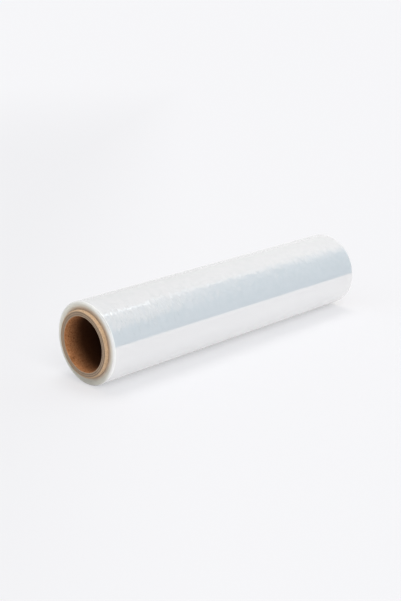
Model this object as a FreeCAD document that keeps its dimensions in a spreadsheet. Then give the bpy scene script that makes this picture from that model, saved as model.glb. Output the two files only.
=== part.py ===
import FreeCAD, Part
import os
import Sketcher

# A hand roll of clear stretch film, wound tight on a spiral-wound paper core, lying on its side.
# +X runs along the core. The origin is under the middle of the roll, on the surface it lies on.
# The turns of film cling to each other and to the core, so they are one solid, seated on the tube.
# The roll is soft enough to lie on a narrow flat along its underside. Lengths are in millimetres.

SIZES = {
    "film_width": 508.0,
    "film_depth": 11.3,
    "film_edge_round": 2.6,
    "flat_spot_width": 13.0,
    "core_bore": 76.2,
    "core_wall": 8.1,
    "core_overhang": 5.0,
    "outer_ply": 2.4,
    "inner_ply": 2.3,
    "outer_ply_wear": 1.7,
    "bore_mouth_wear": 0.5,
    "ply_line_width": 0.5,
    "ply_line_depth": 0.5,
    "turn_line_pitch": 2.3,
    "turn_line_width": 0.9,
    "turn_line_depth": 0.25,
}
# How far a cutting profile stands clear of the face that it cuts.
CUTTER_CLEARANCE = 0.2
# A cut that takes less than this away, in cubic millimetres, has missed the solid.
SMALLEST_CUT = 1.0
ORIGIN_POINT = (-1, 1)

CORE_RADIUS = "(Sizes.core_bore / 2 + Sizes.core_wall)"
FILM_RADIUS = "(Sizes.core_bore / 2 + Sizes.core_wall + Sizes.film_depth)"
FILM_END = "(Sizes.film_width / 2)"
CORE_END = "(Sizes.film_width / 2 + Sizes.core_overhang)"
AXIS_HEIGHT = f"sqrt({FILM_RADIUS}^2 - (Sizes.flat_spot_width / 2)^2)"

doc = FreeCAD.newDocument("stretch_wrap_roll")


def fill_sheet():
    """Puts each driving size in a cell of its own, under its name."""
    sheet = doc.addObject("Spreadsheet::Sheet", "Sizes")
    for row, (name, value) in enumerate(SIZES.items(), start=1):
        sheet.set(f"A{row}", name)
        sheet.set(f"B{row}", str(value))
        sheet.setAlias(f"B{row}", name)
    doc.recompute()


def new_body(label):
    """A body whose X axis is the roll's axis, lifted so that the roll's flat is at height zero."""
    body = doc.addObject("PartDesign::Body", label)
    body.Label = label
    body.setExpression("Placement.Base.z", AXIS_HEIGHT)
    return body


def origin_feature(body, role):
    """One of the body's own origin planes or axes."""
    return next(feature for feature in body.Origin.OriginFeatures if feature.Role == role)


def new_sketch(body, name, plane):
    """An empty sketch on one of the body's origin planes."""
    sketch = body.newObject("Sketcher::SketchObject", name)
    sketch.AttachmentSupport = [(origin_feature(body, plane), "")]
    sketch.MapMode = "FlatFace"
    return sketch


def measure(sketch, name, kind, places, expression):
    """A named dimension of the sketch, bound to the sheet."""
    sketch.renameConstraint(sketch.addConstraint(Sketcher.Constraint(kind, *places, 1.0)), name)
    sketch.setExpression(f"Constraints.{name}", expression)


def draw_closed(sketch, corners):
    """Straight lines through the corners, joined end to end. Returns the first line's index."""
    points = [FreeCAD.Vector(*corner, 0) for corner in corners]
    first = sketch.GeometryCount
    for here, there in zip(points, points[1:] + points[:1]):
        sketch.addGeometry(Part.LineSegment(here, there), False)
    for side in range(len(points)):
        following = first + (side + 1) % len(points)
        sketch.addConstraint(Sketcher.Constraint("Coincident", first + side, 2, following, 1))
    return first


def finish_sketch(sketch):
    """Solves the sketch once its dimensions are bound."""
    doc.recompute()
    if sketch.solve() != 0:
        raise RuntimeError(f"sketch {sketch.Label} doesn't solve")


def pad_ring(body, outer_radius, inner_radius, length):
    """A ring round the axis, as long to one side of the middle as to the other."""
    sketch = new_sketch(body, f"{body.Label}_section", "YZ_Plane")
    for name, radius in (("outer_radius", outer_radius), ("inner_radius", inner_radius)):
        circle = Part.Circle(FreeCAD.Vector(0, 0, 0), FreeCAD.Vector(0, 0, 1), 1.0)
        index = sketch.addGeometry(circle, False)
        sketch.addConstraint(Sketcher.Constraint("Coincident", index, 3, *ORIGIN_POINT))
        measure(sketch, name, "Radius", (index,), radius)
    finish_sketch(sketch)
    pad = body.newObject("PartDesign::Pad", f"{body.Label}_ring")
    pad.Profile = sketch
    pad.SideType = "Symmetric"
    pad.setExpression("Length", length)
    doc.recompute()
    return pad


def end_edges(feature, radius):
    """The names of the feature's round edges of a radius, one at each end."""
    return [
        f"Edge{number}"
        for number, edge in enumerate(feature.Shape.Edges, start=1)
        if isinstance(edge.Curve, Part.Circle) and abs(edge.Curve.Radius - radius) < 1e-6
    ]


def ease_ends(body, name, kind, base, radius, size_property, size):
    """Rounds or bevels the edges of a radius at both ends."""
    easing = body.newObject(kind, name)
    easing.Base = (base, end_edges(base, radius))
    easing.setExpression(size_property, size)
    doc.recompute()
    return easing


def check_cut(feature, volume_before):
    """Stops the build if a cut has missed the solid."""
    doc.recompute()
    if volume_before - feature.Shape.Volume < SMALLEST_CUT:
        raise RuntimeError(f"{feature.Label} cuts nothing")


def score_end(body, name, end, radius, width, depth):
    """A round line scored into the end face at +X, its two sides meeting at the bottom."""
    sketch = new_sketch(body, f"{name}_profile", "XZ_Plane")
    first = draw_closed(sketch, [(1, 2), (2, 1), (2, 3)])
    sketch.addConstraint(Sketcher.Constraint("Vertical", first + 1))
    rise = f"({depth} + {CUTTER_CLEARANCE})"
    half_spread = f"{width} / 2 * {rise} / {depth}"
    measure(sketch, "bottom", "DistanceX", (*ORIGIN_POINT, first, 1), f"{end} - {depth}")
    measure(sketch, "radius", "DistanceY", (*ORIGIN_POINT, first, 1), radius)
    measure(sketch, "rise", "DistanceX", (first, 1, first, 2), rise)
    measure(sketch, "inner_side", "DistanceY", (first, 2, first, 1), half_spread)
    measure(sketch, "outer_side", "DistanceY", (first, 1, first + 1, 2), half_spread)
    finish_sketch(sketch)
    volume_before = body.Shape.Volume
    groove = body.newObject("PartDesign::Groove", name)
    groove.Profile = sketch
    groove.ReferenceAxis = (origin_feature(body, "X_Axis"), [""])
    groove.Angle = 360
    check_cut(groove, volume_before)
    return groove


def copy_to_other_end(body, name, features):
    """Repeats the features of the +X end at the -X end."""
    mirrored = body.newObject("PartDesign::Mirrored", name)
    mirrored.Originals = features
    mirrored.MirrorPlane = (origin_feature(body, "YZ_Plane"), [""])
    body.Tip = mirrored
    doc.recompute()


def build_core_tube():
    """The paper tube: grey board plies inside a kraft ply, whose cut edge is worn back."""
    body = new_body("core_tube")
    bore_radius = SIZES["core_bore"] / 2
    outer_radius = bore_radius + SIZES["core_wall"]
    chamfer = "PartDesign::Chamfer"
    ring = pad_ring(body, CORE_RADIUS, "Sizes.core_bore / 2", f"2 * {CORE_END}")
    worn = ease_ends(body, "worn_outer_ply", chamfer, ring, outer_radius, "Size", "Sizes.outer_ply_wear")
    ease_ends(body, "worn_bore_mouths", chamfer, worn, bore_radius, "Size", "Sizes.bore_mouth_wear")
    plies = {
        "outer_ply_line": f"{CORE_RADIUS} - Sizes.outer_ply",
        "inner_ply_line": "Sizes.core_bore / 2 + Sizes.inner_ply",
    }
    sizes = ("Sizes.ply_line_width", "Sizes.ply_line_depth")
    lines = [score_end(body, name, CORE_END, radius, *sizes) for name, radius in plies.items()]
    copy_to_other_end(body, "ply_lines_far_end", lines)
    return body


def cut_flat_spot(body):
    """The narrow flat along the underside, where the soft roll lies."""
    sketch = new_sketch(body, "flat_spot_profile", "YZ_Plane")
    first = draw_closed(sketch, [(-1, -2), (1, -2), (1, -1), (-1, -1)])
    for side, direction in enumerate(("Horizontal", "Vertical", "Horizontal", "Vertical")):
        sketch.addConstraint(Sketcher.Constraint(direction, first + side))
    measure(sketch, "drop", "DistanceY", (first + 2, 1, *ORIGIN_POINT), AXIS_HEIGHT)
    measure(sketch, "side", "DistanceX", (*ORIGIN_POINT, first + 2, 1), "Sizes.flat_spot_width")
    measure(sketch, "depth", "DistanceY", (first + 1, 1, first + 1, 2), "Sizes.flat_spot_width / 2")
    measure(sketch, "width", "DistanceX", (first, 1, first, 2), "2 * Sizes.flat_spot_width")
    finish_sketch(sketch)
    volume_before = body.Shape.Volume
    pocket = body.newObject("PartDesign::Pocket", "flat_spot")
    pocket.Profile = sketch
    pocket.Type = "ThroughAll"
    pocket.SideType = "Symmetric"
    check_cut(pocket, volume_before)


def turn_line_count():
    """How many lines fit on a flat end, between the core and the rounded edge."""
    flat_end = SIZES["film_depth"] - SIZES["film_edge_round"]
    return int((flat_end - SIZES["turn_line_width"] / 2) // SIZES["turn_line_pitch"])


def build_film_roll():
    """The wound film: soft edges, turns that show as lines on its ends, and a flat underneath."""
    body = new_body("film_roll")
    film_radius = SIZES["core_bore"] / 2 + SIZES["core_wall"] + SIZES["film_depth"]
    fillet = "PartDesign::Fillet"
    ring = pad_ring(body, FILM_RADIUS, CORE_RADIUS, "Sizes.film_width")
    ease_ends(body, "soft_edges", fillet, ring, film_radius, "Radius", "Sizes.film_edge_round")
    sizes = ("Sizes.turn_line_width", "Sizes.turn_line_depth")
    lines = []
    for number in range(1, turn_line_count() + 1):
        radius = f"{CORE_RADIUS} + {number} * Sizes.turn_line_pitch"
        lines.append(score_end(body, f"turn_line_{number}", FILM_END, radius, *sizes))
    if lines:
        copy_to_other_end(body, "turn_lines_far_end", lines)
    cut_flat_spot(body)
    return body


def check_document():
    """Stops the build if any object failed."""
    for item in doc.Objects:
        if {"Invalid", "Error"} & set(item.State):
            raise RuntimeError(f"{item.Label} failed: {item.State}")


def write_node(body):
    """Writes one body's solid to its own file."""
    shape = body.Shape
    if shape.isNull() or not shape.isValid() or len(shape.Solids) != 1:
        raise RuntimeError(f"{body.Label} isn't one valid solid")
    shape.exportStep(f"parts/{body.Label}.step")
    print(body.Label, f"{shape.Volume:.0f} mm3, {len(shape.Faces)} faces")


os.makedirs("parts", exist_ok=True)
fill_sheet()
bodies = [build_core_tube(), build_film_roll()]
doc.recompute()
check_document()
for body in bodies:
    write_node(body)
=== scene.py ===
"""A hand roll of clear stretch film on a paper core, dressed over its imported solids.

+X runs along the core and the origin is under the middle of the roll, on the floor it lies on.
Lengths are in metres.
"""

from __future__ import annotations

import logging
import math
import random
from dataclasses import dataclass
from enum import Enum
from functools import cached_property, partial, reduce
from typing import Callable, Iterable

import bpy
from mathutils import Matrix, Vector

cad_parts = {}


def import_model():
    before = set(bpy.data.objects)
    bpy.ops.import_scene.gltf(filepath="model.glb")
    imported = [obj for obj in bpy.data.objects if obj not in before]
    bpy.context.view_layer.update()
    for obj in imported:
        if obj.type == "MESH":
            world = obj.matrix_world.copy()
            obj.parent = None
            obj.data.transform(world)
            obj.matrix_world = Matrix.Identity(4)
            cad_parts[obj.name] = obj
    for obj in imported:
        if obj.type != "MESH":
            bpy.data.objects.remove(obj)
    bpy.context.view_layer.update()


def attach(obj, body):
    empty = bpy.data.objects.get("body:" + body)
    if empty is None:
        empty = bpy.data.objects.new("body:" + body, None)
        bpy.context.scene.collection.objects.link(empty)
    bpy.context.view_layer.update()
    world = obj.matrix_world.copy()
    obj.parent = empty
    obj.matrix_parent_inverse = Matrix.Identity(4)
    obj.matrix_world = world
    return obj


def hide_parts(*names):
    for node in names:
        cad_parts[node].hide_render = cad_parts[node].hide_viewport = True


log = logging.getLogger("stretch_wrap_roll")

Colour = tuple[float, float, float]
Piece = bpy.types.Object
Node = bpy.types.Node
Socket = bpy.types.NodeSocket
Tree = bpy.types.NodeTree
Test = Callable[[Vector], bool]

AXIS_HEIGHT = 0.05713143
HALF_FILM = 0.254
HALF_CORE = 0.259
BORE_RADIUS = 0.0381
CORE_RADIUS = 0.0462
FILM_RADIUS = 0.0575
# Places in a mesh nearer to each other than this count as one.
SAME_PLACE = 1e-5


class Element(Enum):
    """What an edit-mode selection is made of."""

    VERTEX = "VERT"
    EDGE = "EDGE"
    FACE = "FACE"


class End(Enum):
    """The two ends of the roll, by the sign of X."""

    NEAR = -1
    FAR = 1


def shade(red: int, green: int, blue: int) -> Colour:
    """A colour as it looks on screen, 0 to 255 a channel, as the linear values that nodes take.

    Args:
        red: Red channel.
        green: Green channel.
        blue: Blue channel.

    Returns:
        The linear red, green and blue.
    """

    def linear(channel: int) -> float:
        """One channel, made linear."""
        value = channel / 255
        return value / 12.92 if value <= 0.04045 else ((value + 0.055) / 1.055) ** 2.4

    return linear(red), linear(green), linear(blue)


def from_axis(point: Vector) -> float:
    """How far a point is from the roll's axis."""
    return math.hypot(point.y, point.z - AXIS_HEIGHT)


def at_height(height: float) -> Test:
    """A test that a place in a mesh is at a height."""
    return lambda place: abs(place.z - height) < SAME_PLACE


def runs_along(place: Vector) -> bool:
    """Whether the edge of a section that has its middle here runs from end to end."""
    return abs(place.x) < 0.1


def deselect_all() -> None:
    """Leaves nothing selected, in object mode."""
    if bpy.context.object and bpy.context.object.mode != "OBJECT":
        leave_edit()
    bpy.ops.object.select_all(action="DESELECT")


def make_active(piece: Piece) -> None:
    """Selects one piece alone and makes it the active one."""
    deselect_all()
    piece.select_set(True)
    bpy.context.view_layer.objects.active = piece


def link(item: Piece) -> None:
    """Puts a new object in the scene."""
    bpy.context.scene.collection.objects.link(item)


def smooth(piece: Piece, degrees: float) -> None:
    """Shades a piece smooth, but for edges sharper than an angle."""
    make_active(piece)
    bpy.ops.object.shade_smooth_by_angle(angle=math.radians(degrees))


def edit_all(piece: Piece) -> None:
    """Goes to edit mode with the whole mesh of a piece selected."""
    make_active(piece)
    bpy.ops.object.mode_set(mode="EDIT")
    bpy.ops.mesh.select_mode(type=Element.VERTEX.value)
    bpy.ops.mesh.select_all(action="SELECT")


def leave_edit() -> None:
    """Goes back to object mode."""
    bpy.ops.object.mode_set(mode="OBJECT")


def pick(piece: Piece, element: Element, test: Test) -> None:
    """Selects the parts of a mesh whose middles pass a test, and goes to edit mode.

    Args:
        piece: The mesh object, which is made active.
        element: Whether vertices, edges or faces are picked.
        test: Says of a place in the mesh whether it is wanted.

    Raises:
        RuntimeError: If no part passes the test.
    """
    make_active(piece)
    bpy.ops.object.mode_set(mode="EDIT")
    bpy.ops.mesh.select_mode(type=element.value)
    bpy.ops.mesh.select_all(action="DESELECT")
    leave_edit()
    corners = piece.data.vertices
    if element is Element.VERTEX:
        parts = [(vertex, vertex.co) for vertex in corners]
    elif element is Element.EDGE:
        parts = [(edge, sum((corners[index].co for index in edge.vertices), Vector()) / 2)
                 for edge in piece.data.edges]
    else:
        parts = [(face, face.center) for face in piece.data.polygons]
    count = 0
    for part, middle in parts:
        part.select = test(middle)
        count += part.select
    if not count:
        raise RuntimeError(f"nothing is picked in {piece.name}")
    bpy.ops.object.mode_set(mode="EDIT")


def cut_across(section: Piece, radius: float) -> None:
    """Cuts a filled section along a line at a distance from the axis."""
    edit_all(section)
    bpy.ops.mesh.bisect(plane_co=(0, 0, AXIS_HEIGHT + radius), plane_no=(0, 0, 1))
    leave_edit()


def start_section(name: str, half_length: float, inner: float, outer: float) -> Piece:
    """A flat section above the axis, to be shaped and then spun round it.

    Args:
        name: The piece's name.
        half_length: Half its length along X.
        inner: Its nearest distance to the axis.
        outer: Its furthest distance from the axis.

    Returns:
        The section, with its object at the origin.
    """
    deselect_all()
    middle = (0, 0, AXIS_HEIGHT + (inner + outer) / 2)
    bpy.ops.mesh.primitive_plane_add(size=1.0, location=middle, rotation=(math.pi / 2, 0, 0))
    section = bpy.context.object
    section.name = name
    section.data.name = name
    edit_all(section)
    bpy.ops.transform.resize(value=(2 * half_length, 1.0, outer - inner), center_override=middle)
    leave_edit()
    bpy.ops.object.transform_apply(location=True, rotation=True, scale=True)
    return section


def leave_outline(section: Piece) -> None:
    """Takes the faces out of a section and leaves its outline."""
    edit_all(section)
    bpy.ops.mesh.delete(type="ONLY_FACE")
    leave_edit()


def divide(section: Piece, test: Test, cuts: int) -> None:
    """Divides those edges of a section whose middles pass a test."""
    pick(section, Element.EDGE, test)
    bpy.ops.mesh.subdivide(number_cuts=cuts)
    leave_edit()


def spin_round_axis(outline: Piece, steps: int) -> None:
    """Spins a closed outline once round the roll's axis, in so many steps, and closes the seam."""
    edit_all(outline)
    bpy.ops.mesh.spin(steps=steps, angle=2 * math.pi, center=(0, 0, AXIS_HEIGHT), axis=(1, 0, 0))
    bpy.ops.mesh.select_all(action="SELECT")
    bpy.ops.mesh.remove_doubles(threshold=1e-6)
    bpy.ops.mesh.normals_make_consistent(inside=False)
    leave_edit()


@dataclass(frozen=True)
class Waviness:
    """A shallow unevenness that a Displace modifier presses into a piece, never out of it.

    Attributes:
        name: What the unevenness is.
        kind: The procedural texture's type.
        spread: How many metres one unit of the texture takes along X, Y and Z.
        depth: How deep it goes.
        settings: Further settings of the texture.
    """

    name: str
    kind: str
    spread: tuple[float, float, float]
    depth: float
    settings: dict[str, object]

    def press(self, piece: Piece, where: Callable[[Vector], float]) -> None:
        """Presses the unevenness into a piece, as strongly at each place as `where` says, 0 to 1."""
        make_active(piece)
        group = piece.vertex_groups.new(name=self.name)
        for vertex in piece.data.vertices:
            weight = where(vertex.co)
            if weight > 0:
                group.add([vertex.index], weight, "REPLACE")
        texture = bpy.data.textures.new(self.name, self.kind)
        for setting, value in self.settings.items():
            setattr(texture, setting, value)
        guide = bpy.data.objects.new(self.name, None)
        link(guide)
        guide.location = (0, 0, AXIS_HEIGHT)
        guide.scale = self.spread
        bpy.context.view_layer.update()
        modifier = piece.modifiers.new(self.name, "DISPLACE")
        modifier.texture = texture
        modifier.texture_coords = "OBJECT"
        modifier.texture_coords_object = guide
        modifier.vertex_group = group.name
        modifier.strength = self.depth
        modifier.mid_level = 1.0
        bpy.ops.object.modifier_apply(modifier=modifier.name)
        piece.vertex_groups.remove(piece.vertex_groups[self.name])
        bpy.data.objects.remove(guide)
        bpy.data.textures.remove(texture)


class NodeNet:
    """A net of nodes that is being built, with short calls for the nodes that the finishes use."""

    def __init__(self, tree: Tree) -> None:
        """Starts on a material's, world's or group's node tree, which is emptied."""
        self.tree = tree
        tree.nodes.clear()

    def set(self, socket: Socket, value: object) -> None:
        """Links a socket's value, or sets it where it is a constant.

        Args:
            socket: The input socket.
            value: Another node's output socket, a number, a vector or a colour.
        """
        if isinstance(value, Socket):
            self.tree.links.new(value, socket)
        elif socket.type == "RGBA":
            socket.default_value = (*value[:3], 1.0)
        else:
            socket.default_value = value

    def node(self, kind: str, inputs: dict | None = None, **settings: object) -> Node:
        """Adds a node.

        Args:
            kind: The node's type name.
            inputs: Values of its inputs, by name or number.
            settings: The node's own properties.

        Returns:
            The node.
        """
        node = self.tree.nodes.new(kind)
        for setting, value in settings.items():
            setattr(node, setting, value)
        for key, value in (inputs or {}).items():
            self.set(node.inputs[key], value)
        return node

    def group(self, tree: Tree, inputs: dict) -> Node:
        """Places a node group with its own input values."""
        return self.node("ShaderNodeGroup", inputs, node_tree=tree)

    def math(self, operation: str, *values: object) -> Socket:
        """The result of a Math node."""
        return self.node("ShaderNodeMath", dict(enumerate(values)), operation=operation).outputs[0]

    def plus(self, first: object, second: object) -> Socket:
        """The sum of two values."""
        return self.math("ADD", first, second)

    def minus(self, first: object, second: object) -> Socket:
        """The first value less the second."""
        return self.math("SUBTRACT", first, second)

    def times(self, *values: object) -> Socket:
        """The product of some values."""
        return reduce(partial(self.math, "MULTIPLY"), values)

    def largest(self, *values: object) -> Socket:
        """The largest of some values."""
        return reduce(partial(self.math, "MAXIMUM"), values)

    def unsigned(self, value: object) -> Socket:
        """A value without its sign."""
        return self.math("ABSOLUTE", value)

    def split(self, vector: object) -> tuple[Socket, ...]:
        """The three parts of a vector."""
        return tuple(self.node("ShaderNodeSeparateXYZ", {0: vector}).outputs)

    def join(self, x: object, y: object, z: object) -> Socket:
        """A vector from its three parts."""
        return self.node("ShaderNodeCombineXYZ", {0: x, 1: y, 2: z}).outputs[0]

    def ramp(self, value: object, low: float, high: float, start: object = 0.0,
             stop: object = 1.0) -> Socket:
        """A smooth change from start to stop as a value goes from low to high."""
        inputs = {"Value": value, "From Min": low, "From Max": high, "To Min": start, "To Max": stop}
        return self.node("ShaderNodeMapRange", inputs, interpolation_type="SMOOTHSTEP").outputs[0]

    def blend(self, factor: object, first: object, second: object) -> Socket:
        """A colour that goes from first to second with the factor."""
        inputs = {"Factor": factor, 6: first, 7: second}
        return self.node("ShaderNodeMix", inputs, data_type="RGBA").outputs[2]

    def noise(self, vector: object, scale: object, detail: object = 2.0, roughness: float = 0.5,
              distortion: float = 0.0) -> Socket:
        """Noise about 0.5 over a vector."""
        inputs = {"Vector": vector, "Scale": scale, "Detail": detail, "Roughness": roughness,
                  "Distortion": distortion}
        return self.node("ShaderNodeTexNoise", inputs).outputs["Fac"]

    def bump(self, height: object, distance: float, normal: Socket | None = None) -> Socket:
        """A normal pressed out by a height, over an earlier normal if there is one."""
        inputs = {"Height": height, "Distance": distance, "Strength": 1.0}
        if normal is not None:
            inputs["Normal"] = normal
        return self.node("ShaderNodeBump", inputs).outputs[0]

    def shader(self, kind: str, colour: object) -> Socket:
        """A plain shader of one colour."""
        return self.node(f"ShaderNode{kind}", {"Color": colour}).outputs[0]

    def mix(self, factor: object, first: Socket, second: Socket) -> Socket:
        """A shader that goes from first to second with the factor."""
        return self.node("ShaderNodeMixShader", {0: factor, 1: first, 2: second}).outputs[0]

    def finish(self, kind: str, surface: Socket) -> None:
        """Ends a material or world in a shader."""
        self.node(f"ShaderNodeOutput{kind}", {"Surface": surface})


def new_group(name: str, inputs: dict[str, float | None],
              outputs: Iterable[str]) -> tuple[NodeNet, dict[str, Socket]]:
    """Starts a node group with its sockets.

    Args:
        name: The group's name.
        inputs: Each input's first value, by name; an input that has none takes a vector.
        outputs: The names of its number outputs.

    Returns:
        The group's nodes, and its input sockets by name.
    """
    tree = bpy.data.node_groups.new(name, "ShaderNodeTree")
    for label, value in inputs.items():
        kind = "NodeSocketVector" if value is None else "NodeSocketFloat"
        socket = tree.interface.new_socket(label, in_out="INPUT", socket_type=kind)
        if value is not None:
            socket.default_value = value
    for label in outputs:
        tree.interface.new_socket(label, in_out="OUTPUT", socket_type="NodeSocketFloat")
    net = NodeNet(tree)
    return net, dict(net.node("NodeGroupInput").outputs.items())


class SharedEffects:
    """The node groups that more than one finish uses, each built once."""

    @cached_property
    def roll_place(self) -> Tree:
        """Where a point is on the roll: along it, out from the axis, and which way round."""
        net, given = new_group("roll_place", {"Position": None},
                               ("Along", "Radius", "Sideways", "Upwards", "Turn"))
        x, y, z = net.split(given["Position"])
        height = net.minus(z, AXIS_HEIGHT)
        radius = net.math("SQRT", net.plus(net.times(y, y), net.times(height, height)))
        net.node("NodeGroupOutput", {
            "Along": x, "Radius": radius, "Sideways": net.math("DIVIDE", y, radius),
            "Upwards": net.math("DIVIDE", height, radius),
            "Turn": net.math("DIVIDE", net.math("ARCTAN2", height, y), 2 * math.pi),
        })
        return net.tree

    @cached_property
    def wound_streaks(self) -> Tree:
        """Fine streaks that run round the roll, as wound layers leave them."""
        net, given = new_group("wound_streaks", {
            "Across": 0.0, "Sideways": 0.0, "Upwards": 0.0, "Lines per Metre": 600.0,
            "Change Round": 1.0, "Seed": 0.0, "Detail": 3.0,
        }, ("Streaks",))
        across = net.plus(net.times(given["Across"], given["Lines per Metre"]), given["Seed"])
        place = net.join(across, net.times(given["Sideways"], given["Change Round"]),
                         net.times(given["Upwards"], given["Change Round"]))
        net.node("NodeGroupOutput", {"Streaks": net.noise(place, 1.0, given["Detail"], 0.6)})
        return net.tree

    @cached_property
    def paper_fibre(self) -> Tree:
        """The uneven fibres and darker flecks of recycled paper board."""
        net, given = new_group("paper_fibre", {
            "Position": None, "Fibre Scale": 900.0, "Fleck Scale": 420.0, "Fleck Amount": 0.5,
        }, ("Fibre", "Cloud", "Fleck"))
        fibre = net.noise(given["Position"], given["Fibre Scale"], 4.0, 0.65, 0.6)
        cloud = net.noise(given["Position"], net.times(given["Fibre Scale"], 0.09))
        cells = net.node("ShaderNodeTexVoronoi", {
            "Vector": given["Position"], "Scale": given["Fleck Scale"]})
        spot = net.math("LESS_THAN", cells.outputs["Distance"], net.times(given["Fleck Amount"], 0.3))
        net.node("NodeGroupOutput", {
            "Fibre": fibre, "Cloud": cloud, "Fleck": net.times(spot, net.ramp(cloud, 0.45, 0.6))})
        return net.tree


def new_material(name: str, viewport: Colour) -> bpy.types.Material:
    """An empty node material with a name and a plain colour."""
    material = bpy.data.materials.new(name)
    material.use_nodes = True
    material.diffuse_color = (*viewport, 1.0)
    return material


class RollNet(NodeNet):
    """The nodes of a material that asks where a point is on the roll."""

    def __init__(self, material: bpy.types.Material, effects: SharedEffects) -> None:
        """Adds the nodes that give a point's place to an empty material."""
        super().__init__(material.node_tree)
        self.effects = effects
        self.position = self.node("ShaderNodeTexCoord").outputs["Object"]
        place = self.group(effects.roll_place, {"Position": self.position}).outputs
        self.along, self.radius, self.sideways, self.upwards, self.turn = place

    def streaks(self, across: Socket, lines: float, change: object, seed: float,
                detail: float = 3.0) -> Socket:
        """Streaks that run round the roll.

        Args:
            across: The measure that they lie side by side along.
            lines: How many there are to a metre of it, roughly.
            change: How much they change on the way round.
            seed: A number that makes them differ from other streaks.
            detail: How much finer detail they have.

        Returns:
            A value about 0.5.
        """
        return self.group(self.effects.wound_streaks, {
            "Across": across, "Sideways": self.sideways, "Upwards": self.upwards,
            "Lines per Metre": lines, "Change Round": change, "Seed": seed, "Detail": detail,
        }).outputs["Streaks"]


@dataclass(frozen=True)
class Winding:
    """How the film is wound at a point: fine streaks, broad bands, and the turns in the ends.

    The last three are 1 on the ends, on the outside and on the upper part of the roll.
    """

    fine: Socket
    bands: Socket
    turns: Socket
    end: Socket
    side: Socket
    upper: Socket


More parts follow.
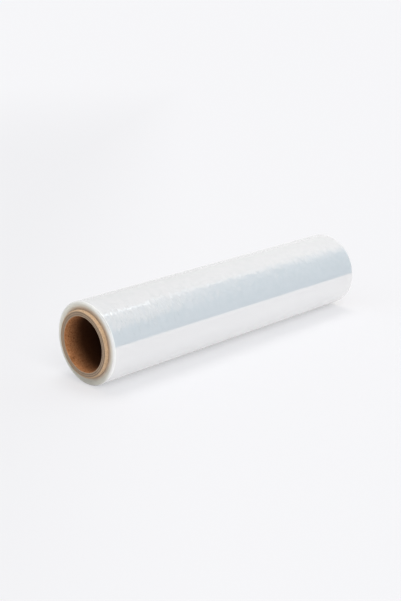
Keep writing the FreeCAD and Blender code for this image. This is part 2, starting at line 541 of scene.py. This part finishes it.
@dataclass(frozen=True)
class ClearFilmFinish:
    """Clear film wound in many turns: glossy, a little milky, with streaks round the roll.

    Attributes:
        name: The material's name.
        refraction: How strongly the layers mirror; a stack of clear layers mirrors more than one.
        coat: How much of a single smooth layer lies over the stack.
        metallic: How much of the stack's mirroring doesn't depend on the angle.
        side: The colour of the outside.
        tension_shade: The outside where the film is wound tighter.
        end: The colour of the ends, where the edges of the turns show.
        end_turns: The darker turns in the ends.
        end_painted_shade: Painted shade on the ends, strongest at the bottom and slight at the top.
        painted_rim_highlight: A painted highlight on the rounded edge.
        painted_core_glow: The core's colour painted into the ends next to it, as light carried through the
            film.
        painted_gap_shade: Painted shade in the thin line where the film meets the core.
    """

    name: str = "clear_film"
    refraction: float = 2.2
    coat: float = 1.0
    metallic: float = 0.08
    side: Colour = shade(235, 235, 236)
    tension_shade: Colour = shade(232, 233, 234)
    end: Colour = shade(241, 238, 227)
    end_turns: Colour = shade(233, 231, 220)
    end_painted_shade: Colour = shade(195, 194, 183)
    painted_rim_highlight: Colour = shade(252, 252, 249)
    painted_core_glow: Colour = shade(194, 165, 138)
    painted_gap_shade: Colour = shade(132, 112, 92)

    def material(self, effects: SharedEffects) -> bpy.types.Material:
        """Builds the film's material from the shared node groups."""
        material = new_material(self.name, self.side)
        net = RollNet(material, effects)
        winding = self._winding(net)
        tighter = net.times(net.ramp(winding.bands, 0.35, 0.7), winding.upper)
        colour = net.blend(winding.end, net.blend(tighter, self.side, self.tension_shade),
                           self._end_colour(net, winding))
        # Painted highlight: the rounded edge made whiter.
        colour = net.blend(self._painted_highlight_strength(net), colour, self.painted_rim_highlight)
        side_rough = net.ramp(winding.fine, 0.4, 0.8, 0.04, 0.12)
        end_rough = net.ramp(winding.turns, 0.3, 0.7, 0.28, 0.4)
        roughness = net.plus(net.times(side_rough, winding.side), net.times(end_rough, winding.end))
        shader = net.node("ShaderNodeBsdfPrincipled", {
            "Base Color": colour, "Roughness": roughness,
            "Normal": self._relief(net, winding), "IOR": self.refraction,
            "Coat Weight": self.coat, "Coat Roughness": 0.03, "Coat IOR": 1.5, "Metallic": self.metallic,
            "Subsurface Weight": 0.5, "Subsurface Radius": (1.0, 1.0, 1.0), "Subsurface Scale": 0.008,
        })
        net.finish("Material", shader.outputs[0])
        return material

    def _winding(self, net: RollNet) -> Winding:
        """Adds the streaks and bands, and says where the ends and the outside are."""
        end = net.ramp(net.unsigned(net.along), HALF_FILM - 0.0016, HALF_FILM - 0.0003)
        band_change = net.ramp(net.along, -0.17, -0.05, 3.0, 6.0)
        return Winding(
            fine=net.streaks(net.along, 620.0, 3.0, 3.0),
            bands=net.streaks(net.along, 110.0, band_change, 11.0, 1.0),
            turns=net.streaks(net.radius, 2600.0, 0.35, 5.0),
            end=end,
            side=net.minus(1.0, end),
            upper=net.ramp(net.upwards, 0.1, 0.4),
        )

    def _painted_highlight_strength(self, net: RollNet) -> Socket:
        """How strongly the painted highlight lies on the rounded edge; most towards -Y, least underneath.
        """
        beyond = net.unsigned(net.along)
        return net.times(
            net.ramp(beyond, HALF_FILM - 0.0040, HALF_FILM - 0.0020),
            net.ramp(net.radius, FILM_RADIUS - 0.0052, FILM_RADIUS - 0.0022),
            net.ramp(net.upwards, -0.95, -0.4),
            net.ramp(net.sideways, -1.0, 0.5, 0.95, 0.3),
        )

    def _end_colour(self, net: RollNet, winding: Winding) -> Socket:
        """The ends: darker turns, painted shade low down and a little at the top, the core's colour painted
        in next to it as light through the film, and painted shade in the gap.
        """
        colour = net.blend(net.ramp(winding.turns, 0.35, 0.65), self.end, self.end_turns)
        # Painted shade: the ends darker towards the bottom and a little at the top.
        low = net.plus(net.ramp(net.upwards, -1.0, 0.2, 0.72, 0.0),
                       net.ramp(net.upwards, 0.5, 1.0, 0.0, 0.08))
        colour = net.blend(low, colour, self.end_painted_shade)
        # Painted light: the core's colour carried through the film, leaning towards the top and the -Y
        # side.
        lean = net.plus(net.times(net.sideways, -0.0012), net.times(net.upwards, 0.0012))
        out_from_core = net.minus(net.radius, CORE_RADIUS)
        painted_glow = net.ramp(net.minus(out_from_core, lean), -0.0004, 0.0060, 1.0, 0.0)
        colour = net.blend(net.times(painted_glow, 0.95), colour, self.painted_core_glow)
        # Painted shade where the film meets the core, weakest on the -Y side.
        gap = net.times(net.ramp(out_from_core, 0.0001, 0.0011, 1.0, 0.0),
                        net.ramp(net.sideways, -1.0, -0.5, 0.15, 0.4))
        return net.blend(gap, colour, self.painted_gap_shade)

    def _relief(self, net: RollNet, winding: Winding) -> Socket:
        """The normal: the outer turn's bands, ripples and creases, and the turns in the ends.

        The outer turn is slack in two strips, part of the way up each side, most at the near end.
        """
        from_level = net.unsigned(net.minus(0.25, net.unsigned(net.turn)))
        from_strip = net.unsigned(net.minus(from_level, 0.12))
        calm_top = net.ramp(net.sideways, -0.1, 0.25, 1.0, 0.1)
        far_side = net.ramp(net.sideways, 0.62, 0.8, 0.0, 0.6)
        slack = net.times(net.ramp(from_strip, 0.02, 0.075, 1.0, 0.06),
                          net.largest(calm_top, far_side), net.ramp(net.upwards, -0.4, 0.0),
                          winding.side)
        loose_end = net.ramp(net.along, -0.17, -0.07, 1.0, 0.22)
        gathered = net.ramp(winding.bands, 0.42, 0.6, 0.35, 1.0)
        ripples = net.streaks(net.along, 430.0, 4.0, 31.0, 0.0)
        ripples = net.times(ripples, slack, loose_end, gathered)
        creases = net.ramp(net.streaks(net.along, 420.0, 4.0, 23.0, 0.0), 0.66, 0.74)
        creases = net.times(creases, winding.upper, net.ramp(net.upwards, 0.62, 0.85, 1.0, 0.0),
                            winding.side, loose_end)
        normal = net.bump(net.times(winding.fine, slack), 0.00008)
        normal = net.bump(net.times(winding.bands, slack), 0.0005, normal)
        normal = net.bump(ripples, 0.0011, normal)
        normal = net.bump(creases, 0.0003, normal)
        return net.bump(net.times(winding.turns, winding.end), 0.00012, normal)


FILM_SIDE = ClearFilmFinish()
FILM_ENDS = ClearFilmFinish("clear_film_edges", refraction=1.5, coat=0.25, metallic=0.0)


@dataclass(frozen=True)
class PaperFinish:
    """One kind of paper of the core.

    Attributes:
        name: The material's name.
        base: Its plain colour.
        dark_fibre_and_shade: The colour of its darker fibres, and of the painted shade on one side of the
            cut end and deep in the bore.
        fleck_and_shade: The colour of its flecks, darker patches and ply lines, and of the painted shade on
            the kraft ply.
        fibre_scale: How fine the fibres are.
        relief: How deep the fibres stand.
        sheen: How much the fuzz catches the light.
        ply_lines: Whether the edges of many plies show as rings.
        seam: Whether the wound strip's edge shows as a spiral line.
        seam_step: How high that edge stands out, if at all.
        painted_shade_inside: Whether it is darkened with painted shade away from the mouths.
        painted_side_shade: Whether it is darkened with painted shade towards the bottom and the +Y side.
        mottle: How strongly it is clouded with darker patches.
        seam_rise: How far the wound strip goes along the tube in one turn.
    """

    name: str
    base: Colour
    dark_fibre_and_shade: Colour
    fleck_and_shade: Colour
    fibre_scale: float = 900.0
    relief: float = 0.00008
    sheen: float = 0.12
    ply_lines: bool = False
    seam: bool = False
    seam_step: float = 0.0
    painted_shade_inside: bool = False
    painted_side_shade: bool = False
    mottle: float = 0.1
    seam_rise: float = 0.138

    def material(self, effects: SharedEffects) -> bpy.types.Material:
        """Builds the paper's material from the shared node groups."""
        material = new_material(self.name, self.base)
        net = RollNet(material, effects)
        fibre = net.group(effects.paper_fibre, {
            "Position": net.position, "Fibre Scale": self.fibre_scale,
            "Fleck Scale": self.fibre_scale * 0.45, "Fleck Amount": 0.6,
        }).outputs
        colour = net.blend(net.ramp(fibre["Fibre"], 0.35, 0.7), self.base, self.dark_fibre_and_shade)
        colour = net.blend(net.times(fibre["Fleck"], 0.6), colour, self.fleck_and_shade)
        patch = net.ramp(fibre["Cloud"], 0.45, 0.65, 0.0, self.mottle)
        colour = net.blend(patch, colour, self.fleck_and_shade)
        normal = net.bump(fibre["Fibre"], self.relief)
        if self.ply_lines:
            colour = self._cut_plies(net, colour)
            rings = net.streaks(net.radius, 1500.0, 0.6, 2.0)
            colour = net.blend(net.ramp(rings, 0.55, 0.72, 0.0, 0.55), colour, self.dark_fibre_and_shade)
            normal = net.bump(rings, 0.0002, normal)
        if self.seam:
            lead = net.plus(net.math("DIVIDE", net.along, self.seam_rise), net.turn)
            strip = net.math("FRACT", lead)
            edge = net.ramp(strip, 0.0, 0.012, 1.0, 0.0)
            colour = net.blend(net.times(edge, 0.45), colour, self.dark_fibre_and_shade)
            if self.seam_step:
                normal = net.bump(net.ramp(strip, 0.0, 0.006), self.seam_step, normal)
        if self.painted_side_shade:
            # Painted shade: darker towards the bottom and the +Y side.
            away_from_shade = net.minus(net.upwards, net.times(net.sideways, 0.7))
            colour = net.blend(net.ramp(away_from_shade, -1.1, 0.4, 0.6, 0.0), colour, self.fleck_and_shade)
        if self.painted_shade_inside:
            # Painted shade: the bore darker away from the mouths.
            deep = net.ramp(net.minus(HALF_CORE, net.unsigned(net.along)), 0.0, 0.033)
            darker = tuple(channel * share for channel, share in zip(self.dark_fibre_and_shade, (0.10, 0.07, 0.05)))
            colour = net.blend(net.times(deep, 0.94), colour, darker)
        shader = net.node("ShaderNodeBsdfPrincipled", {
            "Base Color": colour, "Roughness": 0.9, "Normal": normal,
            "Specular IOR Level": 0.2, "Sheen Weight": self.sheen, "Sheen Roughness": 0.6,
        })
        net.finish("Material", shader.outputs[0])
        return material

    def _cut_plies(self, net: RollNet, colour: Socket) -> Socket:
        """The cut end: the kraft ply outside, lines between the plies, and painted shade on one side."""
        in_kraft = net.ramp(net.radius, 0.0437, 0.0441)
        colour = net.blend(in_kraft, colour, shade(205, 174, 142))
        for line in (0.0405, 0.0435):
            gap = net.unsigned(net.minus(net.radius, line))
            colour = net.blend(net.ramp(gap, 0.0002, 0.0008, 0.85, 0.0), colour, self.fleck_and_shade)
        # Painted shade: the cut end darker towards the +Y side.
        return net.blend(net.ramp(net.sideways, -1.0, 1.0, 0.0, 0.55), colour, self.dark_fibre_and_shade)


BOARD = PaperFinish("core_board", shade(198, 171, 144), shade(162, 141, 120), shade(110, 93, 77),
                    ply_lines=True, relief=0.00012)
KRAFT_PLY = PaperFinish("core_kraft_ply", shade(221, 190, 154), shade(196, 163, 128), shade(152, 120, 90),
                        fibre_scale=700.0, seam=True, seam_step=0.0004, painted_side_shade=True)
BORE_LINING = PaperFinish("core_bore_lining", shade(216, 153, 104), shade(176, 114, 70), shade(104, 64, 34),
                          fibre_scale=420.0, seam=True, painted_shade_inside=True, sheen=0.0, mottle=0.15)


@dataclass
class FilmRoll:
    """The wound film: soft edges, turns that step in and out at the ends, a flat underneath.

    Attributes:
        edge_round: The rounding of its outer edges.
        steps_round: How many faces go round it.
        turn_cuts: How many cuts divide each end into rings.
        calm_height: Below this height the outside is even, and full ripples start at twice it.
        slack_angle: How many degrees from the top the middle of a slack strip is.
        front_slack: How many degrees wide half the strip at the front is.
        back_slack: How many degrees wide half the strip at the back is.
    """

    edge_round: float = 0.0026
    steps_round: int = 160
    turn_cuts: int = 33
    calm_height: float = 0.025
    slack_angle: float = 43.0
    front_slack: float = 22.0
    back_slack: float = 13.0

    def build(self) -> Piece:
        """Models the film.

        Returns:
            The piece, which stands for the node film_roll.
        """
        roll = start_section("wound_film", HALF_FILM, CORE_RADIUS, FILM_RADIUS)
        self._shape_outline(roll)
        spin_round_axis(roll, self.steps_round)
        self._press_in(roll)
        self._settle_on_floor(roll)
        smooth(roll, 50)
        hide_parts("film_roll")
        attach(roll, "root")
        return roll

    def _shape_outline(self, roll: Piece) -> None:
        """Rounds the section's outer corners and divides its outline along the outside and the ends."""
        on_outside = at_height(AXIS_HEIGHT + FILM_RADIUS)
        pick(roll, Element.VERTEX, on_outside)
        bpy.ops.mesh.bevel(offset=self.edge_round, segments=8, affect="VERTICES")
        leave_edit()
        leave_outline(roll)
        for cuts in (3, 99):
            divide(roll, on_outside, cuts)
        divide(roll, lambda place: abs(abs(place.x) - HALF_FILM) < SAME_PLACE, self.turn_cuts)

    def _press_in(self, roll: Piece) -> None:
        """Presses the unevenness of the winding into the sides and the ends."""
        flat_end = FILM_RADIUS - self.edge_round

        def on_side(place: Vector) -> float:
            """1 on the outside, fading out at its edges and towards the underside."""
            if from_axis(place) < FILM_RADIUS - SAME_PLACE:
                return 0.0
            above_floor = max(0.0, min(1.0, (place.z - self.calm_height) / self.calm_height))
            return above_floor * min(1.0, (HALF_FILM - self.edge_round - abs(place.x)) / 0.004)

        def in_slack(place: Vector) -> float:
            """1 in the middle of the strips where the outer turn lies slack, fading out sideways."""
            lean = math.degrees(math.atan2(abs(place.y), place.z - AXIS_HEIGHT))
            half_strip = self.front_slack if place.y < 0 else self.back_slack
            return on_side(place) * max(0.0, 1 - abs(lean - self.slack_angle) / half_strip)

        def on_end(place: Vector) -> float:
            """1 on the flat of the ends."""
            if abs(place.x) < HALF_FILM - SAME_PLACE:
                return 0.0
            inward = (flat_end - from_axis(place)) / 0.0012
            outward = (from_axis(place) - CORE_RADIUS) / 0.0006
            return max(0.0, min(1.0, inward, outward))

        Waviness("tension_bands", "CLOUDS", (0.02, 0.3, 0.3), 0.000025,
                 {"noise_scale": 1.0, "noise_depth": 1}).press(roll, on_side)
        Waviness("slack_ripples", "CLOUDS", (0.0035, 0.016, 0.016), 0.00012,
                 {"noise_scale": 1.0, "noise_depth": 2}).press(roll, in_slack)
        Waviness("turn_edges", "WOOD", (5.0, 0.0032, 0.0032), 0.00035,
                 {"wood_type": "RINGNOISE", "noise_basis_2": "SIN", "turbulence": 3.0,
                  "noise_scale": 0.6}).press(roll, on_end)

    def _settle_on_floor(self, roll: Piece) -> None:
        """Flattens what would be below the floor, so that the roll lies on a narrow flat."""
        pick(roll, Element.VERTEX, lambda place: place.z < 0)
        bpy.ops.transform.resize(value=(1, 1, 0), center_override=(0, 0, 0))
        leave_edit()

    def dress(self, roll: Piece, effects: SharedEffects) -> None:
        """Gives the outside and the ends of the film their finishes."""
        for finish in (FILM_SIDE, FILM_ENDS):
            roll.data.materials.append(finish.material(effects))
        for face in roll.data.polygons:
            face.material_index = 1 if abs(face.normal.x) > 0.25 else 0


@dataclass
class CoreTube:
    """The paper tube: grey board plies between a kraft ply outside and a brown lining.

    Attributes:
        ply_radii: Where a line between plies is scored in its ends.
        half_line: Half the width of such a line.
        score_depth: How deep it is.
        outer_ply_round: How far the kraft ply's cut edge is worn round.
        inner_round: How far its inner edge and the bore's mouths are.
        steps_round: How many faces go round it.
        fibre_count: How many loose fibres stand at each mouth.
    """

    ply_radii: tuple[float, ...] = (0.0404, 0.0420, 0.0438)
    half_line: float = 0.00022
    score_depth: float = 0.0005
    outer_ply_round: float = 0.0016
    inner_round: float = 0.0005
    steps_round: int = 180
    fibre_count: int = 26

    def build(self) -> Piece:
        """Models the tube.

        Returns:
            The piece, which stands for the node core_tube.
        """
        tube = start_section("paper_core", HALF_CORE, BORE_RADIUS, CORE_RADIUS)
        self._score_plies(tube)
        self._wear_corners(tube)
        leave_outline(tube)
        divide(tube, runs_along, 60)
        spin_round_axis(tube, self.steps_round)
        self._roughen_ends(tube)
        smooth(tube, 35)
        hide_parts("core_tube")
        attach(tube, "root")
        return tube

    def _score_plies(self, tube: Piece) -> None:
        """Cuts the section between the plies and presses the lines in at both ends."""
        for radius in self.ply_radii:
            for place in (radius - self.half_line, radius, radius + self.half_line):
                cut_across(tube, place)
        at_lines = [at_height(AXIS_HEIGHT + radius) for radius in self.ply_radii]
        pick(tube, Element.VERTEX, lambda place: any(at_line(place) for at_line in at_lines))
        inward = 1 - self.score_depth / HALF_CORE
        bpy.ops.transform.resize(value=(inward, 1, 1), center_override=(0, 0, 0))
        leave_edit()
        low, high = AXIS_HEIGHT + BORE_RADIUS + SAME_PLACE, AXIS_HEIGHT + CORE_RADIUS - SAME_PLACE
        pick(tube, Element.EDGE, lambda place: runs_along(place) and low < place.z < high)
        bpy.ops.mesh.dissolve_edges(use_verts=False)
        leave_edit()

    def _wear_corners(self, tube: Piece) -> None:
        """Rounds the kraft ply's cut edge and the bore's mouths."""
        for radius, size, segments in (
            (CORE_RADIUS, self.outer_ply_round, 6),
            (self.ply_radii[-1] + self.half_line, self.inner_round, 4),
            (BORE_RADIUS, self.inner_round, 3),
        ):
            pick(tube, Element.VERTEX, at_height(AXIS_HEIGHT + radius))
            bpy.ops.mesh.bevel(offset=size, segments=segments, affect="VERTICES")
            leave_edit()

    def _roughen_ends(self, tube: Piece) -> None:
        """Makes the sawn ends a little uneven."""

        def on_cut(place: Vector) -> float:
            """1 on the sawn faces."""
            return 1.0 if abs(place.x) > HALF_CORE - 0.0004 else 0.0

        def at_mouth(place: Vector) -> float:
            """1 at the edge of the bore."""
            near_mouth = abs(place.x) > HALF_CORE - 0.0012
            return 1.0 if near_mouth and from_axis(place) < BORE_RADIUS + 0.0007 else 0.0

        Waviness("sawn_face", "CLOUDS", (0.006, 0.006, 0.006), 0.0002,
                 {"noise_scale": 0.5, "noise_depth": 3}).press(tube, on_cut)
        Waviness("frayed_mouth", "CLOUDS", (0.004, 0.004, 0.004), 0.0005,
                 {"noise_scale": 0.6, "noise_depth": 3}).press(tube, at_mouth)

    def build_fibres(self) -> Piece:
        """Models the loose paper fibres at the mouths, each one curled and drawn to a tip.

        Returns:
            The fibres as one piece.
        """
        pattern = self._one_fibre()
        chance = random.Random(7)
        to_axis = Matrix.Translation((0, 0, AXIS_HEIGHT))
        copies = []
        for end in End:
            foot = Matrix.Translation((end.value * (HALF_CORE - 0.0011), 0, -BORE_RADIUS - 0.0003))
            for _ in range(self.fibre_count):
                copy = pattern.copy()
                copy.data = pattern.data.copy()
                link(copy)
                roll_round = Matrix.Rotation(chance.uniform(0, 2 * math.pi), 4, "X")
                shorten = Matrix.Scale(chance.uniform(0.35, 0.8), 4)
                lean_in = Matrix.Rotation(chance.uniform(-0.8, 0.1) * end.value, 4, "Y")
                lean_aside = Matrix.Rotation(chance.uniform(-0.7, 0.7), 4, "X")
                copy.data.transform(to_axis @ roll_round @ foot @ lean_in @ lean_aside @ shorten)
                copies.append(copy)
        bpy.data.objects.remove(pattern)
        make_active(copies[0])
        for copy in copies:
            copy.select_set(True)
        bpy.ops.object.join()
        fibres = bpy.context.object
        fibres.name = "mouth_fibres"
        fibres.data.name = "mouth_fibres"
        smooth(fibres, 60)
        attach(fibres, "root")
        return fibres

    def _one_fibre(self) -> Piece:
        """One fibre that stands up from the origin, curled and drawn to a tip."""
        deselect_all()
        top = 0.0004
        bpy.ops.mesh.primitive_cylinder_add(vertices=4, radius=0.00011, depth=top, location=(0, 0, top / 2))
        fibre = bpy.context.object
        bpy.ops.object.transform_apply(location=True, rotation=True, scale=True)
        for rise, lean, narrow in ((0.0005, 0.00012, 0.8), (0.0005, 0.00028, 0.6), (0.0004, 0.0004, 0.3)):
            pick(fibre, Element.FACE, at_height(top))
            bpy.ops.mesh.extrude_region_move(TRANSFORM_OT_translate={"value": (lean, 0, rise)})
            bpy.ops.transform.resize(value=(narrow, narrow, 1))
            leave_edit()
            top += rise
        return fibre

    def dress(self, tube: Piece, fibres: Piece, effects: SharedEffects) -> None:
        """Gives the plies, the lining and the fibres their papers.

        Args:
            tube: The tube.
            fibres: The loose fibres.
            effects: The shared node groups.
        """
        papers = [paper.material(effects) for paper in (BOARD, KRAFT_PLY, BORE_LINING)]
        for paper in papers:
            tube.data.materials.append(paper)
        for face in tube.data.polygons:
            outwards = Vector((0, face.center.y, face.center.z - AXIS_HEIGHT)).normalized()
            facing = face.normal.dot(outwards)
            if facing > 0.3 and from_axis(face.center) > self.ply_radii[-1] + 0.0006:
                face.material_index = 1
            elif facing < -0.6 and from_axis(face.center) < BORE_RADIUS + 0.0004:
                face.material_index = 2
        fibres.data.materials.append(papers[1])


@dataclass
class Studio:
    """The floor, the light and the camera.

    Attributes:
        backdrop: The pale colour of the floor and of what is behind it.
        backdrop_painted_shade: The floor to the left, slightly darker with painted shade.
        table: How bright the white table in front is where the film mirrors it.
        table_behind: How bright it is behind the roll and past its far end.
        painted_contact_shadow: How deep the painted shadow right under the roll is where the film mirrors
            the floor.
        room: What the film mirrors beyond the table's edge.
        pale_wall: The paler parts of the room, beyond the roll's ends and behind it.
        soft_light: How bright the broad light over the roll is where the film mirrors it.
        lamp_fringe: The bluer edge of that light.
        daylight: The even light from all round.
        table_edge: How far the white table reaches to each side of the roll.
        table_turn: How far its edge turns from the roll's direction, as a slope.
        floor_lift: How much of the floor's paleness doesn't depend on the light.
        camera_place: Where the camera is.
        camera_target: Where it points.
        lens: The focal length, in millimetres on a 36 mm frame.
    """

    backdrop: Colour = shade(248, 248, 250)
    backdrop_painted_shade: Colour = shade(242, 242, 244)
    table: Colour = (1.03, 1.03, 1.03)
    table_behind: Colour = (0.90, 0.90, 0.90)
    painted_contact_shadow: Colour = (0.36, 0.36, 0.37)
    room: Colour = (0.17, 0.39, 0.52)
    pale_wall: Colour = (0.58, 0.64, 0.67)
    soft_light: Colour = (1.0, 1.0, 0.995)
    lamp_fringe: Colour = (0.82, 0.93, 0.99)
    daylight: Colour = (0.46, 0.46, 0.465)
    table_edge: float = 0.47
    table_turn: float = 0.37
    floor_lift: float = 0.5
    camera_place: tuple[float, float, float] = (-1.0641, -1.0021, 0.5184)
    camera_target: tuple[float, float, float] = (-0.03805, 0, 0.06812)
    lens: float = 62.09

    def build(self) -> None:
        """Builds the whole studio."""
        self._lay_floor()
        self._light_world()
        self._hang_lamps()
        self._place_camera()

    def _lay_floor(self) -> None:
        """Lays the floor, pale where it is seen and a table in a room where the film mirrors it."""
        deselect_all()
        bpy.ops.mesh.primitive_plane_add(size=90.0, location=(0, 0, -0.0002))
        floor = bpy.context.object
        floor.name = "studio_floor"
        material = new_material("studio_floor", self.backdrop)
        net = NodeNet(material.node_tree)
        x, y, _ = net.split(net.node("ShaderNodeTexCoord").outputs["Object"])
        place = {0: net.join(x, y, 0.0)}
        away = net.node("ShaderNodeVectorMath", place, operation="LENGTH").outputs["Value"]
        # Painted shade: the floor darker to the left, out to a few metres.
        rightwards = net.minus(net.times(x, 0.7), net.times(y, 0.7))
        even = net.largest(net.ramp(rightwards, -0.42, 0.0), net.ramp(away, 1.5, 4.0))
        pale = net.blend(even, self.backdrop_painted_shade, self.backdrop)
        ray = net.node("ShaderNodeLightPath").outputs
        lift = net.times(ray["Is Camera Ray"], self.floor_lift)
        seen = net.mix(lift, net.shader("BsdfDiffuse", pale), net.shader("Emission", pale))
        mirrored = self._mirrored_floor(net, x, y, away)
        net.finish("Material", net.mix(ray["Is Glossy Ray"], seen, mirrored))
        floor.data.materials.append(material)

    def _mirrored_floor(self, net: NodeNet, x: Socket, y: Socket, away: Socket) -> Socket:
        """What the film mirrors below: a white table with a painted shadow right under the roll, in a dim
        room.

        Args:
            net: The floor's nodes.
            x: How far along the roll's direction a place is.
            y: How far across it.
            away: How far from the middle of the roll.

        Returns:
            The shader.
        """
        along = net.unsigned(x)
        nearby = net.times(net.ramp(y, -0.06, 0.0, 1.0, 0.0), net.ramp(x, 0.4, 0.75, 1.0, 0.0))
        # Painted shadow right under the roll, which only the film's mirroring shows.
        under_roll = net.times(net.ramp(net.unsigned(y), 0.012, 0.028, 0.85, 0.0),
                               net.ramp(along, 0.25, 0.262, 1.0, 0.0))
        table = net.blend(nearby, self.table_behind, self.table)
        table = net.blend(under_roll, table, self.painted_contact_shadow)
        bright = net.mix(0.65, net.shader("BsdfDiffuse", table), net.shader("Emission", table))
        endwise = net.ramp(net.math("DIVIDE", along, away), 0.84, 0.93)
        paler = net.largest(endwise, net.ramp(x, -0.6, -0.3, 0.65, 0.0))
        dim = net.shader("Emission", net.blend(paler, self.room, self.pale_wall))
        across = net.unsigned(net.minus(y, net.times(x, self.table_turn)))
        cut_off = net.largest(net.math("LESS_THAN", y, 0.0), net.math("LESS_THAN", x, 0.0))
        beyond = net.times(net.math("GREATER_THAN", across, self.table_edge), cut_off)
        return net.mix(beyond, bright, dim)

    def _light_world(self) -> None:
        """Lights the room evenly; the film mirrors a dim room with a broad soft light above it."""
        world = bpy.data.worlds.new("studio")
        bpy.context.scene.world = world
        world.use_nodes = True
        net = NodeNet(world.node_tree)
        x, y, z = net.split(net.node("ShaderNodeTexCoord").outputs["Generated"])
        along = net.unsigned(x)
        reach = net.ramp(along, 0.73, 0.79, 0.15, 0.27)
        from_front = net.plus(y, reach)
        front = net.ramp(from_front, -0.012, 0.012, 1.0, 0.0)
        behind = net.times(net.ramp(net.minus(y, reach), -0.06, 0.07),
                           net.ramp(x, 0.1, 0.4, 1.0, 0.0))
        high_front = net.times(net.ramp(along, 0.635, 0.68, 1.0, 0.0), net.ramp(z, 0.425, 0.45))
        pale = net.largest(high_front, behind, net.ramp(along, 0.84, 0.93),
                           net.ramp(x, -0.4, -0.1, 0.65, 0.0))
        room = net.blend(pale, self.room, self.pale_wall)
        strip = net.times(net.ramp(net.unsigned(net.plus(y, 0.115)), 0.01, 0.05, 1.8, 0.0),
                          net.ramp(along, 0.625, 0.655, 1.0, 0.0))
        level = net.plus(net.ramp(along, 0.60, 0.77, 0.82, 0.92), strip)
        lamp = net.blend(net.ramp(from_front, 0.0, 0.16, 1.0, 0.0), self.soft_light, self.lamp_fringe)
        lamp = net.node("ShaderNodeVectorMath", {0: lamp, "Scale": level}, operation="SCALE")
        mirrored = net.blend(net.largest(front, behind), lamp.outputs["Vector"], room)
        ray = net.node("ShaderNodeLightPath").outputs
        colour = net.blend(ray["Is Camera Ray"], self.daylight, self.backdrop)
        colour = net.blend(ray["Is Glossy Ray"], colour, mirrored)
        net.finish("World", net.shader("Background", colour))

    def _hang_lamps(self) -> None:
        """Hangs broad soft lamps, which the film doesn't mirror as discs."""
        for name, strength, spread, azimuth, elevation in (
            ("overhead_light", 0.95, 34.0, 135.0, 80.0),
            ("front_light", 1.0, 40.0, -22.0, 42.0),
        ):
            light = bpy.data.lights.new(name, "SUN")
            light.energy = strength
            light.angle = math.radians(spread)
            lamp = bpy.data.objects.new(name, light)
            turn, rise = math.radians(azimuth), math.radians(elevation)
            level = math.cos(rise)
            towards = Vector((math.sin(turn) * level, -math.cos(turn) * level, math.sin(rise)))
            lamp.rotation_euler = towards.to_track_quat("Z", "Y").to_euler()
            lamp.visible_glossy = False
            link(lamp)

    def _place_camera(self) -> None:
        """Places the camera where the photograph was taken."""
        data = bpy.data.cameras.new("photo_camera")
        data.sensor_width = 36.0
        data.lens = self.lens
        data.clip_end = 200.0
        camera = bpy.data.objects.new("photo_camera", data)
        camera.location = self.camera_place
        towards = Vector(self.camera_target) - camera.location
        camera.rotation_euler = towards.to_track_quat("-Z", "Y").to_euler()
        link(camera)
        bpy.context.scene.camera = camera
        bpy.context.scene.view_settings.view_transform = "Standard"


def report(piece: Piece) -> None:
    """Logs a piece's name and how many triangles it has."""
    piece.data.calc_loop_triangles()
    log.info("%s: %d triangles", piece.name, len(piece.data.loop_triangles))


def main() -> None:
    """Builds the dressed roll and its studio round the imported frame."""
    logging.basicConfig(level=logging.INFO, format="%(name)s: %(message)s")
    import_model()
    effects = SharedEffects()
    Studio().build()
    film = FilmRoll()
    roll = film.build()
    film.dress(roll, effects)
    report(roll)
    core = CoreTube()
    tube = core.build()
    fibres = core.build_fibres()
    core.dress(tube, fibres, effects)
    report(tube)
    report(fibres)


if __name__ == "__main__":
    main()
